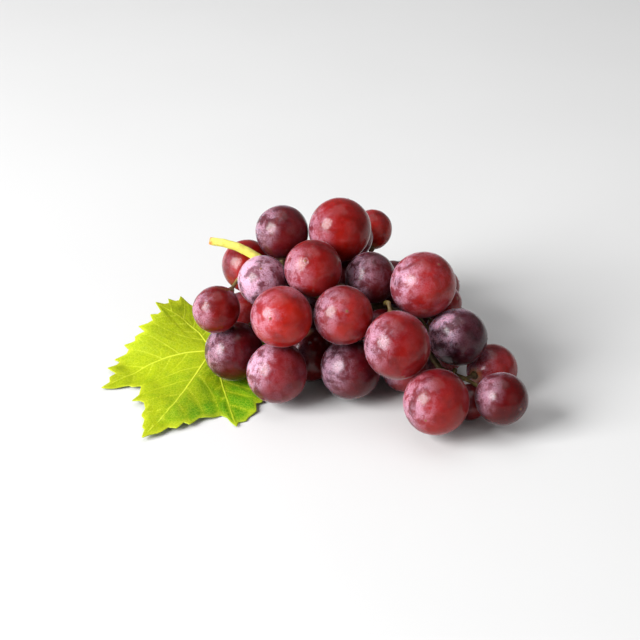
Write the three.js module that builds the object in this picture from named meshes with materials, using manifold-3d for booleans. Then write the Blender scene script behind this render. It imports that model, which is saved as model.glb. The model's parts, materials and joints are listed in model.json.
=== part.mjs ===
// A bunch of large red table grapes, picked and laid down on a table, with one vine leaf tucked under it.
// Millimetres. +X runs to the right, from the cut stem to the tip of the bunch, +Y to the back and +Z up.
// The origin is on the table, under the middle of the whole thing.
//
// Every grape is a mesh of its own. The stem is one mesh, because it grew as one piece: the main stem, its
// branches and the short stalk of each grape. The leaf and its stalk are one mesh.
import * as THREE from 'three';
import { mergeVertices } from 'three/addons/utils/BufferGeometryUtils.js';
import Module from 'manifold-3d';

const wasm = await Module();
wasm.setup();

// ---------------------------------------------------------------- driving dimensions, mm

const GRAPE_WIDTH = 25; // across a typical grape
const GRAPE_LENGTH_RATIO = 1.04; // its length from stem end to blossom end, as a share of its width
const GRAPE_EGG = 0.03; // how much fuller the blossom end is than the stem end
const GRAPE_GAP = 0.3; // between two grapes that touch
const REST_DENT = 0.7; // how deep the table flattens a grape that rests on it
const GRAPE_SIDES = 14; // facets round a grape
const GRAPE_RINGS = 7; // facets from one end of a grape to the other

const PEDUNCLE_WIDTH = 3.4; // the cut end of the main stem
const RACHIS_WIDTH = 4.0; // where the main stem enters the bunch
const RACHIS_TIP_WIDTH = 2.2;
const BRANCH_WIDTH = 2.2;
const STALK_WIDTH = 1.5; // the stalk of one grape
const COLLAR_WIDTH = 3.6; // the swollen collar at the stalk's end, which the grape sits on
const COLLAR_LENGTH = 1.8;
const STEM_GAP = 0.3; // between the stem and any grape

const LEAF_LENGTH = 66; // from the leaf's stalk to the tip of its middle lobe
const LEAF_THICKNESS = 0.6;
const LEAF_CREST = 5.5; // how high the leaf stands where its stalk joins it
const LEAF_CURL = 15; // how far the lobe at the back curls up, on the side away from the bunch
const LEAF_GAP = 0.3; // between the leaf and a grape on it
const LEAF_STALK_WIDTH = 2.2;
const LEAF_STALK_LENGTH = 36;
const LEAF_STALK_LIFT = 2; // the middle of the stalk's end, over the table

const ROD_SIDES = 8; // facets round the main stem and the leaf's stalk
const TWIG_SIDES = 6; // facets round the branches and the grapes' stalks
const ROD_FRAMES = 120; // turns of a rod's section are read off at this many places
const RACHIS_STEPS = 22; // facets from one end of the main stem to the other
const BRANCH_STEPS = 4;
const SETTLING_ROUNDS = 150;
const STALK_ROUNDS = 10;
const TOUCH_SPACING = 2; // between the points that a grape is kept clear of, mm

// Places in the bunch are [right, back, up] in typical grape radii, so they follow the size of the grapes.
const UNIT = GRAPE_WIDTH / 2;
const DOWN = new THREE.Vector3(0, 0, -1);

// ---------------------------------------------------------------- where things are in the bunch

// The main stem, from its cut end to the tip of the bunch.
const RACHIS = [
  [-3.75, 2.2, 4.5],
  [-3.0, 2.2, 4.35],
  [-2.5, 2.2, 4.1],
  [-2.1, 2.15, 3.85],
  [-1.2, 1.95, 3.2],
  [0.0, 1.6, 2.7],
  [1.2, 1.4, 2.4],
  [2.3, 1.1, 2.5],
  [3.3, 0.4, 2.1],
  [4.0, -0.6, 1.2],
  [4.8, -1.2, 1.15],
];
const ENTERS_AT = 0.2; // share of the main stem that stands out of the bunch

// The branches. Each leaves the main stem at its nearest point and runs through `path`, and the stalks of its
// grapes spread from its end. A grape is [right, back, up, radius, skin].
const BRANCHES = [
  {
    path: [[-2.2, 2.15, 3.87]],
    grapes: [[-3.45, 0.35, 2.9, 0.78, 'crimson']],
  },
  {
    path: [[-1.25, 1.95, 3.25]],
    grapes: [[-1.3, 2.8, 4.35, 0.9, 'purple']],
  },
  {
    path: [
      [-1.55, 1.9, 2.8],
      [-1.85, 1.85, 2.3],
    ],
    grapes: [
      [-1.9, 1.05, 3.55, 0.84, 'lilac'],
      [-2.42, 2.8, 2.95, 0.89, 'crimson'],
      [-2.85, 0.55, 1.25, 0.98, 'purple'],
    ],
  },
  {
    path: [
      [-0.75, 1.2, 2.7],
      [-0.7, 0.7, 2.5],
    ],
    grapes: [
      [-1.25, -0.7, 3.25, 1.0, 'scarlet'],
      [-1.4, -0.9, 1.25, 1.0, 'lilac'],
      [-0.4, 0.7, 0.9, 0.9, 'crimson'],
      [-1.5, 0.95, 2.0, 0.7, 'crimson'],
    ],
  },
  {
    path: [
      [-1.3, 2.5, 2.5],
      [-1.55, 2.75, 2.05],
    ],
    grapes: [
      [-2.7, 2.4, 1.35, 0.92, 'crimson'],
      [-0.8, 2.4, 0.9, 0.92, 'purple'],
      [-1.75, 3.95, 0.85, 0.9, 'crimson'],
      [-2.5, 4.35, 2.2, 0.72, 'scarlet'],
      [-0.8, 3.6, 2.6, 0.9, 'crimson'],
    ],
  },
  {
    path: [[0.2, 1.9, 3.1]],
    grapes: [
      [-0.2, 0.8, 4.2, 0.95, 'scarlet'],
      [0.6, 2.6, 4.6, 1.06, 'scarlet'],
    ],
  },
  {
    path: [[0.6, 0.6, 2.3]],
    grapes: [
      [0.8, -0.6, 3.25, 0.97, 'crimson'],
      [1.0, -0.6, 1.25, 1.0, 'purple'],
    ],
  },
  {
    path: [[1.2, 1.7, 1.8]],
    grapes: [
      [1.9, 1.2, 0.8, 0.8, 'purple'],
      [1.0, 2.7, 0.85, 0.9, 'crimson'],
    ],
  },
  {
    path: [
      [0.3, 3.0, 2.2],
      [0.6, 3.75, 2.2],
    ],
    grapes: [
      [1.15, 3.95, 3.55, 0.7, 'lilac'],
      [0.1, 4.3, 0.9, 0.9, 'purple'],
      [0.8, 4.6, 2.1, 0.8, 'crimson'],
    ],
  },
  {
    path: [
      [1.7, 2.5, 2.0],
      [1.75, 3.7, 2.1],
    ],
    grapes: [
      [1.55, 5.05, 2.95, 0.7, 'crimson'],
      [1.95, 4.4, 0.85, 0.88, 'scarlet'],
      [2.3, 2.9, 2.1, 0.76, 'purple'],
    ],
  },
  {
    path: [[2.25, 1.12, 2.5]],
    grapes: [[1.75, 1.4, 3.55, 0.85, 'purple']],
  },
  {
    path: [[2.75, 0.85, 2.4]],
    grapes: [[3.35, 0.45, 3.75, 1.08, 'pink']],
  },
  {
    path: [
      [2.2, 0.4, 3.1],
      [2.25, -0.4, 3.6],
    ],
    grapes: [[2.45, -1.65, 2.8, 1.07, 'pink']],
  },
  {
    path: [
      [3.3, 1.5, 1.9],
      [3.35, 2.1, 1.75],
    ],
    grapes: [
      [4.2, 1.6, 2.4, 0.65, 'crimson'],
      [4.2, 0.9, 0.9, 0.78, 'purple'],
      [4.5, 2.5, 0.85, 0.84, 'crimson'],
    ],
  },
  {
    path: [
      [3.3, 1.5, 1.9],
      [3.4, 2.5, 1.8],
      [3.5, 3.2, 1.85],
    ],
    grapes: [
      [2.85, 2.6, 0.85, 0.84, 'pink'],
      [3.75, 3.0, 1.75, 0.66, 'scarlet'],
      [3.75, 4.3, 0.9, 0.84, 'crimson'],
      [2.95, 3.9, 1.6, 0.66, 'purple'],
    ],
  },
  {
    path: [[3.1, -0.3, 2.3]],
    grapes: [
      [2.1, 0.1, 2.2, 0.68, 'lilac'],
      [2.9, -0.2, 1.0, 0.8, 'lilac'],
      [4.5, -0.4, 2.22, 0.95, 'purple'],
    ],
  },
  {
    path: [[4.5, -0.9, 1.35]],
    grapes: [[3.75, -2.75, 1.35, 1.06, 'pink']],
  },
  {
    path: [[4.0, -0.6, 1.2]],
    grapes: [[4.85, -1.3, 0.56, 0.58, 'crimson']],
  },
  {
    path: [[4.8, -1.2, 1.15]],
    grapes: [
      [5.6, -2.25, 1.1, 0.84, 'crimson'],
      [5.76, -0.3, 0.95, 0.84, 'pink'],
    ],
  },
  {
    path: [[0.55, 1.5, 2.6]],
    grapes: [[0.8, 2.6, 2.7, 0.78, 'crimson']],
  },
];

// The leaf: where its stalk joins it, and the compass heading of its middle lobe, counted from +X.
const LEAF_AT = [-3.8, 1.5];
const LEAF_HEADING = THREE.MathUtils.degToRad(248);

// The leaf's outline, as [degrees from the middle lobe, share of the leaf's length], from one side of the
// notch at its stalk round to the other. Positive angles are on the side away from the bunch.
const LEAF_OUTLINE = [
  [-176, 0.05],
  [-166, 0.28],
  [-148, 0.38],
  [-132, 0.5],
  [-118, 0.53],
  [-105, 0.48],
  [-92, 0.52],
  [-78, 0.56],
  [-66, 0.56],
  [-58, 0.59],
  [-50, 0.65],
  [-44, 0.71],
  [-37, 0.77],
  [-33, 0.63],
  [-24, 0.65],
  [-15, 0.74],
  [-7, 0.83],
  [0, 0.97],
  [5, 0.85],
  [11, 0.73],
  [15, 0.66],
  [22, 0.68],
  [27, 0.58],
  [32, 0.54],
  [38, 0.62],
  [43, 0.77],
  [52, 0.68],
  [65, 0.63],
  [77, 0.57],
  [88, 0.51],
  [99, 0.5],
  [111, 0.53],
  [122, 0.54],
  [133, 0.56],
  [140, 0.48],
  [152, 0.38],
  [166, 0.28],
  [176, 0.05],
];
const LEAF_RINGS = 6; // facets from the leaf's stalk out to its edge

// ---------------------------------------------------------------- small helpers

const inUnits = ([x, y, z]) => new THREE.Vector3(x, y, z).multiplyScalar(UNIT);

// 0 before `from`, 1 after `to`, and a smooth rise between them.
const rise = (x, from, to) => THREE.MathUtils.smoothstep((x - from) / (to - from), 0, 1);

function closedSolid(geometry) {
  const bare = geometry.clone();
  bare.deleteAttribute('normal');
  bare.deleteAttribute('uv');
  const merged = mergeVertices(bare.index ? bare.toNonIndexed() : bare, 1e-4);
  const corners = merged.index.array;
  const triVerts = [];
  for (let i = 0; i < corners.length; i += 3) {
    const [a, b, c] = corners.slice(i, i + 3);
    if (a !== b && b !== c && c !== a) triVerts.push(a, b, c);
  }
  return new wasm.Manifold(
    new wasm.Mesh({
      numProp: 3,
      vertProperties: merged.attributes.position.array,
      triVerts: new Uint32Array(triVerts),
    }),
  );
}

function geometryOf(solid) {
  const { numProp, numVert, vertProperties, triVerts } = solid.getMesh();
  const position = new Float32Array(numVert * 3);
  for (let i = 0; i < numVert; i++) {
    position.set(vertProperties.subarray(i * numProp, i * numProp + 3), i * 3);
  }
  const geometry = new THREE.BufferGeometry();
  geometry.setAttribute('position', new THREE.BufferAttribute(position, 3));
  geometry.setIndex(new THREE.BufferAttribute(triVerts, 1));
  geometry.computeVertexNormals();
  return geometry;
}

// A round rod along a curve. `profile` lists [share of the curve, radius]; both ends close on the axis.
function rod(curve, profile, sides) {
  const outline = profile.map(([share, radius]) => new THREE.Vector2(radius, share));
  outline.unshift(new THREE.Vector2(0, profile[0][0]));
  outline.push(new THREE.Vector2(0, profile.at(-1)[0]));
  const geometry = new THREE.LatheGeometry(outline, sides);
  const place = geometry.attributes.position;
  const frames = curve.computeFrenetFrames(ROD_FRAMES, false);
  const corner = new THREE.Vector3();
  for (let i = 0; i < place.count; i++) {
    const share = place.getY(i);
    const frame = Math.round(share * ROD_FRAMES);
    corner
      .copy(curve.getPointAt(share))
      .addScaledVector(frames.normals[frame], place.getX(i))
      .addScaledVector(frames.binormals[frame], -place.getZ(i));
    place.setXYZ(i, corner.x, corner.y, corner.z);
  }
  return closedSolid(geometry);
}

// ---------------------------------------------------------------- the leaf's surface

const leafForward = new THREE.Vector2(Math.cos(LEAF_HEADING), Math.sin(LEAF_HEADING));
const leafOut = new THREE.Vector2(Math.sin(LEAF_HEADING), -Math.cos(LEAF_HEADING));

// The height of the middle of the leaf's thickness, `along` the middle lobe and `out` to the side of it,
// away from the bunch. It is creased along the middle lobe and curls up at the outer back.
function leafHeight(along, out) {
  const crest = LEAF_CREST * THREE.MathUtils.clamp(1 - along / LEAF_LENGTH, 0, 1);
  const side = out / (out < 0 ? LEAF_LENGTH / 6 : LEAF_LENGTH / 3);
  const curl = LEAF_CURL * rise(-along, -LEAF_LENGTH / 3, LEAF_LENGTH / 4) * rise(out, 0, LEAF_LENGTH * 0.6);
  return LEAF_THICKNESS / 2 + crest * Math.exp(-side * side) + curl;
}

function leafPoint(degrees, reach) {
  const turn = THREE.MathUtils.degToRad(degrees);
  const along = Math.cos(turn) * reach;
  const out = Math.sin(turn) * reach;
  return new THREE.Vector3(
    LEAF_AT[0] * UNIT + leafForward.x * along + leafOut.x * out,
    LEAF_AT[1] * UNIT + leafForward.y * along + leafOut.y * out,
    leafHeight(along, out),
  );
}

// One spoke of points for each point of the outline, from the leaf's stalk out to its edge.
function leafSpokes() {
  return LEAF_OUTLINE.map(([degrees, reach]) =>
    Array.from({ length: LEAF_RINGS }, (_, ring) =>
      leafPoint(degrees, (reach * LEAF_LENGTH * (ring + 1)) / LEAF_RINGS),
    ),
  );
}

// The leaf is two skins, one thickness apart, and a rim that joins them.
function leafBlade() {
  const spokes = leafSpokes();
  const centre = leafPoint(0, 0);
  const corners = [];
  const skin = (point, side) => [point.x, point.y, point.z + (side * LEAF_THICKNESS) / 2];
  const face = (a, b, c) => corners.push(...a, ...b, ...c);
  spokes.forEach((spoke, i) => {
    const next = spokes[(i + 1) % spokes.length];
    for (const side of [1, -1]) {
      const turned = (a, b, c) => (side > 0 ? face(a, b, c) : face(a, c, b));
      turned(skin(centre, side), skin(next[0], side), skin(spoke[0], side));
      for (let ring = 1; ring < LEAF_RINGS; ring++) {
        const [a, b] = [skin(spoke[ring - 1], side), skin(spoke[ring], side)];
        const [c, d] = [skin(next[ring], side), skin(next[ring - 1], side)];
        turned(a, d, c);
        turned(a, c, b);
      }
    }
    const [edge, nextEdge] = [spoke.at(-1), next.at(-1)];
    face(skin(edge, 1), skin(nextEdge, -1), skin(edge, -1));
    face(skin(edge, 1), skin(nextEdge, 1), skin(nextEdge, -1));
  });
  const geometry = new THREE.BufferGeometry();
  geometry.setAttribute('position', new THREE.Float32BufferAttribute(corners, 3));
  return closedSolid(geometry);
}

// The leaf's stalk runs straight on from the middle lobe, away from it, and comes down onto the table.
function leafStalkCurve() {
  const radius = LEAF_STALK_WIDTH / 2;
  const root = leafPoint(0, LEAF_STALK_WIDTH);
  const halfway = leafPoint(180, LEAF_STALK_LENGTH * 0.4);
  const end = leafPoint(170, LEAF_STALK_LENGTH);
  halfway.z = Math.min(root.z, radius * 3);
  end.z = LEAF_STALK_LIFT;
  return new THREE.QuadraticBezierCurve3(root, halfway, end);
}

function leafStalk() {
  const radius = LEAF_STALK_WIDTH / 2;
  const profile = [
    [0, radius * 0.7],
    [0.15, radius],
    [0.5, radius * 0.9],
    [0.92, radius],
    [1, radius * 1.2],
  ];
  return rod(leafStalkCurve(), profile, ROD_SIDES);
}

// ---------------------------------------------------------------- settling the grapes

const rachis = new THREE.CatmullRomCurve3(RACHIS.map(inUnits), false, 'centripetal');

function nearestOn(curve, point) {
  const places = curve.getSpacedPoints(200);
  return places.reduce((best, place) => (place.distanceTo(point) < best.distanceTo(point) ? place : best));
}

// A branch that ends on the main stem itself has no length of its own, and only marks where stalks leave.
function branchCurve({ path }) {
  const points = path.map(inUnits);
  const root = nearestOn(rachis, points[0]);
  if (points.length === 1 && root.distanceTo(points[0]) < RACHIS_WIDTH / 2) return null;
  return new THREE.CatmullRomCurve3([root, ...points], false, 'centripetal');
}

function buildGrapes() {
  const grapes = [];
  for (const branch of BRANCHES) {
    const hub = inUnits(branch.path.at(-1));
    for (const [x, y, z, size, skin] of branch.grapes) {
      const radius = size * UNIT;
      grapes.push({ hub, place: inUnits([x, y, z]), radius, half: radius * GRAPE_LENGTH_RATIO, skin });
    }
  }
  return grapes;
}

const axisOf = (grape) => grape.hub.clone().sub(grape.place).normalize();

// How far a grape reaches from its middle, at most, in the direction `way`.
function reach(grape, way) {
  const lengthwise = way.dot(axisOf(grape));
  const crosswise = Math.sqrt(Math.max(1 - lengthwise ** 2, 0));
  const egg = 1 + GRAPE_EGG * Math.max(-lengthwise, 0);
  return egg * Math.hypot(grape.half * lengthwise, grape.radius * crosswise);
}

// Moves `grape` until its skin is `room` away from `point`.
function pushOff(grape, point, room) {
  const away = grape.place.clone().sub(point);
  const distance = away.length();
  away.normalize();
  const missing = reach(grape, away.clone().negate()) + room - distance;
  if (missing > 0) grape.place.addScaledVector(away, missing);
}

// Points along a rod, each with the room that a grape keeps from it.
function alongRod(curve, width) {
  const points = curve.getSpacedPoints(Math.ceil(curve.getLength() / TOUCH_SPACING));
  return points.map((point) => ({ point, room: width / 2 + STEM_GAP }));
}

// What grapes give way to, apart from each other and the table.
function obstacles(branchCurves) {
  const blade = leafSpokes().flat().map((point) => ({ point, room: LEAF_THICKNESS / 2 + LEAF_GAP }));
  return [
    ...blade,
    ...alongRod(leafStalkCurve(), LEAF_STALK_WIDTH),
    ...alongRod(rachis, RACHIS_WIDTH),
    ...branchCurves.flatMap((curve) => alongRod(curve, BRANCH_WIDTH)),
  ];
}

// Grapes that would share space push each other apart, and give way to the stem, the leaf and the table.
function settle(grapes, inTheWay) {
  for (let round = 0; round < SETTLING_ROUNDS; round++) {
    grapes.forEach((grape, i) => {
      for (const other of grapes.slice(i + 1)) {
        const apart = other.place.clone().sub(grape.place);
        const distance = apart.length();
        apart.normalize();
        const missing = reach(grape, apart) + reach(other, apart.clone().negate()) + GRAPE_GAP - distance;
        if (missing <= 0) continue;
        other.place.addScaledVector(apart, missing / 2);
        grape.place.addScaledVector(apart, -missing / 2);
      }
    });
    for (const grape of grapes) {
      for (const { point, room } of inTheWay) pushOff(grape, point, room);
      grape.place.z = Math.max(grape.place.z, reach(grape, DOWN) - REST_DENT);
    }
  }
}

// ---------------------------------------------------------------- the solids

// A grape, standing on its blossom end: a little longer than wide, and fuller at the blossom end.
function grapeGeometry({ radius, half }) {
  const outline = [];
  for (let i = 0; i <= GRAPE_RINGS; i++) {
    const turn = Math.PI * (1 - i / GRAPE_RINGS);
    const width = radius * Math.sin(turn) * (1 - GRAPE_EGG * Math.cos(turn));
    outline.push(new THREE.Vector2(i % GRAPE_RINGS ? width : 0, half * Math.cos(turn)));
  }
  return new THREE.LatheGeometry(outline, GRAPE_SIDES);
}

// The stalk of one grape runs from the end of its branch to the grape, and swells into a collar there.
function grapeStalk(grape, grapes) {
  const seat = grape.place.clone().addScaledVector(axisOf(grape), grape.half + STEM_GAP);
  const points = [0, 0.35, 0.7, 1].map((share) => grape.hub.clone().lerp(seat, share));
  for (let round = 0; round < STALK_ROUNDS; round++) {
    for (const point of points.slice(1, -1)) {
      for (const other of grapes) {
        if (other === grape) continue;
        const away = point.clone().sub(other.place);
        const missing = other.half + STALK_WIDTH / 2 + STEM_GAP - away.length();
        if (missing > 0) point.addScaledVector(away.normalize(), missing);
      }
    }
  }
  const curve = new THREE.CatmullRomCurve3(points, false, 'centripetal');
  const collar = 1 - Math.min(COLLAR_LENGTH / curve.getLength(), 0.6);
  const profile = [
    [0, STALK_WIDTH / 2],
    [collar * 0.5, STALK_WIDTH / 2],
    [collar, STALK_WIDTH / 2],
    [1, COLLAR_WIDTH / 2],
  ];
  return rod(curve, profile, TWIG_SIDES);
}

function rachisRod() {
  const profile = [
    [0, PEDUNCLE_WIDTH * 0.45],
    [0.01, PEDUNCLE_WIDTH * 0.5],
  ];
  for (let i = 1; i <= RACHIS_STEPS; i++) {
    const share = i / RACHIS_STEPS;
    const width =
      share < ENTERS_AT
        ? THREE.MathUtils.lerp(PEDUNCLE_WIDTH, RACHIS_WIDTH, share / ENTERS_AT)
        : THREE.MathUtils.mapLinear(share, ENTERS_AT, 1, RACHIS_WIDTH, RACHIS_TIP_WIDTH);
    profile.push([share, width / 2]);
  }
  return rod(rachis, profile, ROD_SIDES);
}

function branchRod(curve) {
  const profile = Array.from({ length: BRANCH_STEPS + 1 }, (_, i) => [i / BRANCH_STEPS, BRANCH_WIDTH / 2]);
  return rod(curve, profile, TWIG_SIDES);
}

// ---------------------------------------------------------------- the bunch

const SKINS = {
  scarlet: new THREE.MeshStandardMaterial({ color: 0xa3221f, roughness: 0.4, metalness: 0 }),
  crimson: new THREE.MeshStandardMaterial({ color: 0x7c1626, roughness: 0.38, metalness: 0 }),
  pink: new THREE.MeshStandardMaterial({ color: 0xb5495a, roughness: 0.5, metalness: 0 }),
  lilac: new THREE.MeshStandardMaterial({ color: 0x8d5a76, roughness: 0.55, metalness: 0 }),
  purple: new THREE.MeshStandardMaterial({ color: 0x4a1730, roughness: 0.45, metalness: 0 }),
};
const STEM_GREEN = new THREE.MeshStandardMaterial({ color: 0xb9ab3a, roughness: 0.6, metalness: 0 });
const LEAF_GREEN = new THREE.MeshStandardMaterial({ color: 0x9dc016, roughness: 0.5, metalness: 0 });

function namedMesh(name, geometry, material) {
  const mesh = new THREE.Mesh(geometry, material);
  mesh.name = name;
  return mesh;
}

// The table top cuts a small flat on each grape that rests on it.
function grapeMesh(grape, i) {
  const name = `grape_${String(i + 1).padStart(2, '0')}`;
  const mesh = namedMesh(name, grapeGeometry(grape), SKINS[grape.skin]);
  mesh.position.copy(grape.place);
  mesh.quaternion.setFromUnitVectors(new THREE.Vector3(0, 1, 0), axisOf(grape));
  mesh.updateMatrix();
  if (grape.place.z < reach(grape, DOWN)) {
    const table = new THREE.BoxGeometry(GRAPE_WIDTH * 2, GRAPE_WIDTH * 2, GRAPE_WIDTH);
    table.translate(grape.place.x, grape.place.y, -GRAPE_WIDTH / 2);
    table.applyMatrix4(mesh.matrix.clone().invert());
    mesh.geometry = geometryOf(closedSolid(mesh.geometry).subtract(closedSolid(table)));
  }
  return mesh;
}

function stemSolid(grapes, branchCurves) {
  const branches = branchCurves.map(branchRod);
  const stalks = grapes.map((grape) => grapeStalk(grape, grapes));
  return [...branches, ...stalks].reduce((stem, piece) => stem.add(piece), rachisRod());
}

const branchCurves = BRANCHES.map(branchCurve).filter((curve) => curve);
const grapes = buildGrapes();
settle(grapes, obstacles(branchCurves));

const fruit = new THREE.Group();
fruit.add(...grapes.map(grapeMesh));

const bunch = new THREE.Group();
bunch.add(fruit);
bunch.add(namedMesh('stem', geometryOf(stemSolid(grapes, branchCurves)), STEM_GREEN));
bunch.add(namedMesh('leaf', geometryOf(leafBlade().add(leafStalk())), LEAF_GREEN));

// The origin goes under the middle of the whole thing, on the table.
const bounds = new THREE.Box3().setFromObject(bunch, true);
const middle = bounds.getCenter(new THREE.Vector3());
bunch.position.set(-middle.x, -middle.y, -bounds.min.z);

export default bunch;
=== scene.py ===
"""Draws a bunch of large red table grapes, with a vine leaf tucked under it, on a pale studio floor.

Lengths are in metres, and those given in millimetres are multiplied by MM or are named so. Where the
grapes, the stem and the leaf are comes from the CAD frame.
"""

import json
import math
import random
from collections import namedtuple

import bmesh
import bpy
import numpy as np
from mathutils import Matrix, Vector, kdtree, noise


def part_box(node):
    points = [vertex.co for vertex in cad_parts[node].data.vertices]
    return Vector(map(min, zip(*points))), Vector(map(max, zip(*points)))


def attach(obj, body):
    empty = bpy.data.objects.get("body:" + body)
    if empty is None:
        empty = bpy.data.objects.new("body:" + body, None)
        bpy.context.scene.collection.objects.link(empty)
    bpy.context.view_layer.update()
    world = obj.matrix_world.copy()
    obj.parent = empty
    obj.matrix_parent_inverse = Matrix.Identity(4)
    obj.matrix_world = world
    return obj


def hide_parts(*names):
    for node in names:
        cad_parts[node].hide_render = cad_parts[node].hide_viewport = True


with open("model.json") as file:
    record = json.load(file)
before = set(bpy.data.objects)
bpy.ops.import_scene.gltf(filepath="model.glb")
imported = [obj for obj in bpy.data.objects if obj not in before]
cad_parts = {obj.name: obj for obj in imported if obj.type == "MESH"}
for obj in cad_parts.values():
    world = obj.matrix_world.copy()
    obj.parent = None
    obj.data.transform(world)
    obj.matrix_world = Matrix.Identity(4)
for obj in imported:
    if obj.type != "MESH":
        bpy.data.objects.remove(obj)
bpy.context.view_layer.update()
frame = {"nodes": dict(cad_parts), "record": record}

bl_info = {
    "name": "Bunch of Grapes",
    "version": (1, 0, 0),
    "blender": (4, 5, 0),
    "location": "View3D > Sidebar > Grapes",
    "description": "Builds a bunch of red table grapes, its stem, its leaf and a studio round it",
    "category": "Object",
}

MM = 0.001
BODY = "root"
SAME_PLACE = 0.001 * MM  # vertices closer than this are joined

# What the CAD grapes are: facets round a grape, facets from end to end, and how full the blossom end is.
CAD_SIDES = 14
CAD_RINGS = 7
CAD_EGG = 0.03

# The pale bloom is painted thickest on a grape's upper left, towards the key light, where it is partly a
# painted highlight. At its front right, away from that light, the flesh shows through as a painted glow of
# light.
BLOOM_HIGHLIGHT_SIDE = Vector((-0.85, -0.38, 0.38)).normalized()
PAINTED_GLOW_SIDE = Vector((0.5, -0.84, 0.1)).normalized()

# How each grape that shows best differs from the rest of its kind: how thick its bloom is, which is partly
# a painted highlight, how much of that is all over it, how much painted glow of light through its flesh it
# has, and how much deeper its red is.
Look = namedtuple("Look", "bloom haze glow dark")
LOOKS = {
    "grape_01": Look(1.2, 0.05, 0.3, 0.1),
    "grape_02": Look(1.1, 0.10, 0.3, 0.3),
    "grape_03": Look(2.6, 1.0, 0.0, 0.0),
    "grape_04": Look(0.4, 0.10, 0.8, 0.0),
    "grape_05": Look(1.2, 0.08, 0.2, 0.2),
    "grape_06": Look(0.9, 0.15, 0.9, 0.0),
    "grape_07": Look(1.6, 0.20, 0.4, 0.1),
    "grape_08": Look(0.6, 0.05, 0.2, 0.6),
    "grape_15": Look(1.1, 0.15, 0.6, 0.3),
    "grape_16": Look(0.9, 0.10, 0.7, 0.3),
    "grape_17": Look(1.1, 0.25, 0.7, 0.0),
    "grape_18": Look(1.0, 0.10, 0.2, 0.3),
    "grape_19": Look(0.6, 0.10, 0.2, 0.5),
    "grape_21": Look(1.4, 0.50, 0.2, 0.0),
    "grape_24": Look(0.9, 0.25, 1.0, 0.0),
    "grape_27": Look(1.4, 0.45, 0.2, 0.1),
    "grape_28": Look(1.3, 0.35, 0.7, 0.1),
    "grape_29": Look(1.1, 0.10, 0.6, 0.3),
    "grape_30": Look(1.0, 0.20, 0.4, 0.0),
    "grape_39": Look(2.2, 0.12, 0.0, 0.4),
    "grape_40": Look(1.0, 0.10, 0.7, 0.3),
    "grape_42": Look(1.0, 0.00, 0.1, 0.7),
    "grape_43": Look(0.9, 0.35, 0.6, 0.0),
}

# The bloom. Each slot's skin has this share of it.
BLOOM_BY_SLOT = {
    "skin_scarlet": 0.75,
    "skin_crimson": 0.7,
    "skin_pink": 0.9,
    "skin_lilac": 1.0,
    "skin_purple": 0.8,
}
# Where the bloom is thickest, towards the key light, it is partly a painted highlight.
BLOOM_COVER = 0.68  # how much of the skin's colour the thickest bloom hides
HAZE_COVER = 0.4  # how much of a grape's haze counts, away from its thickest bloom

# The marks at a grape's ends: the dimple at its stalk, and the button and moat of its scar.
DIMPLE_DEPTH = 0.35 * MM
DIMPLE_WIDTH = 1.9 * MM
BUTTON_HEIGHT = 0.08 * MM
MOAT_DEPTH = 0.08 * MM
MOAT_WIDTH = 0.5 * MM

# The collar between a grape and its stalk.
COLLAR_AT_GRAPE = 1.75 * MM
COLLAR_AT_STALK = 1.2 * MM
COLLAR_HEIGHT = 1.5 * MM
COLLAR_SUNK = 0.2 * MM
STEM_REGAIN = 0.10 * MM  # what smoothing takes off the stem's thickness

# The leaf, as the CAD leaf is made. Its middle lobe points along LEAF_HEADING from the stalk.
LEAF_LENGTH = 66 * MM
LEAF_HEADING = math.radians(248)
LEAF_CREST = 5.5 * MM
LEAF_CURL = 15 * MM
LEAF_OUTER_TIP = (43, 0.77)  # where its box starts in X, as (degrees, share of the leaf's length)
LEAF_MIDDLE_TIP = (0, 0.97)  # where its box starts in Y
LEAF_HUB = 0.015  # share of the leaf's length, round the joint, where its spokes start
LEAF_STALK_WIDTH = 2.2 * MM
LEAF_STALK_LENGTH = 36 * MM
LEAF_STALK_LIFT = 2 * MM  # the middle of the stalk's end, over the table
UNDER_GRAPE_GAP = 0.5 * MM  # between the leaf and a grape on it
LEAF_SPOKES = 600
LEAF_RINGS = 72
MAIN_VEIN_WIDTH = 0.95 * MM
SIDE_VEIN_WIDTH = 0.5 * MM
VEIN_STEP = 1.0 * MM  # how far a side vein grows at a time
VEIN_ROOM = 1.6 * MM  # where a side vein stops before another
VEIN_BEND = math.radians(1.3)  # how far it turns towards the main vein's tip at each step
VEIN_END = 0.965  # share of the way to the edge where it stops

# The middle of the view, on the bunch, and the lights as (name, size, place).
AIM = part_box("leaf")[0] + Vector((93.6, 40.6, 33.8)) * MM
LIGHTS = [
    ("key", 1.1, (-1.4, -0.74, 0.96)),
    ("fill", 0.8, (0.7, -0.7, 0.5)),
    ("top", 0.9, (-0.1, 0.15, 1.0)),
]

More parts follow.
